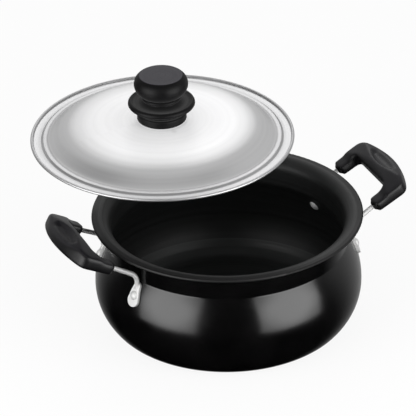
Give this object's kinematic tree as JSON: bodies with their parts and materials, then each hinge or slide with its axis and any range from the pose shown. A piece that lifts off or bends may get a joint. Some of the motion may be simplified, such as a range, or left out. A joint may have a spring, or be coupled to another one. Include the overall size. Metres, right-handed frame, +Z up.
{
  "type": "handi pot",
  "caption": "Bellied cooking pot with a rolled-out rim, riveted rod handles with moulded grips, and a domed lid with a turned knob, shown lifted clear of the pot.",
  "frame": {"origin": "centre of the pot's flat base, on the surface that it stands on", "axes": "+Z up along the pot's axis; X through both handles, with +X towards the handle at the picture's right rear"},
  "size_m": [0.3175, 0.2462, 0.2335],
  "materials": {
    "pot_shell": "hard anodised, glossy black outside and satin inside",
    "handle_rod": "bright drawn",
    "grip": "moulded phenolic, satin",
    "rivet": "bright",
    "lid_sheet": "satin polished",
    "knob": "moulded phenolic, satin",
    "insert": "turned",
    "fastener": "zinc plated"
  },
  "bodies": {
    "root": {"pot_body": "pot_shell", "handle_rod_right": "handle_rod", "handle_rod_left": "handle_rod", "grip_right": "grip", "grip_left": "grip", "rivet_right_front": "rivet", "rivet_right_rear": "rivet", "rivet_left_front": "rivet", "rivet_left_rear": "rivet", "lid": "lid_sheet", "lid_knob": "knob", "knob_insert": "insert", "knob_screw": "fastener", "knob_washer": "fastener"}
  },
  "joints": []
}
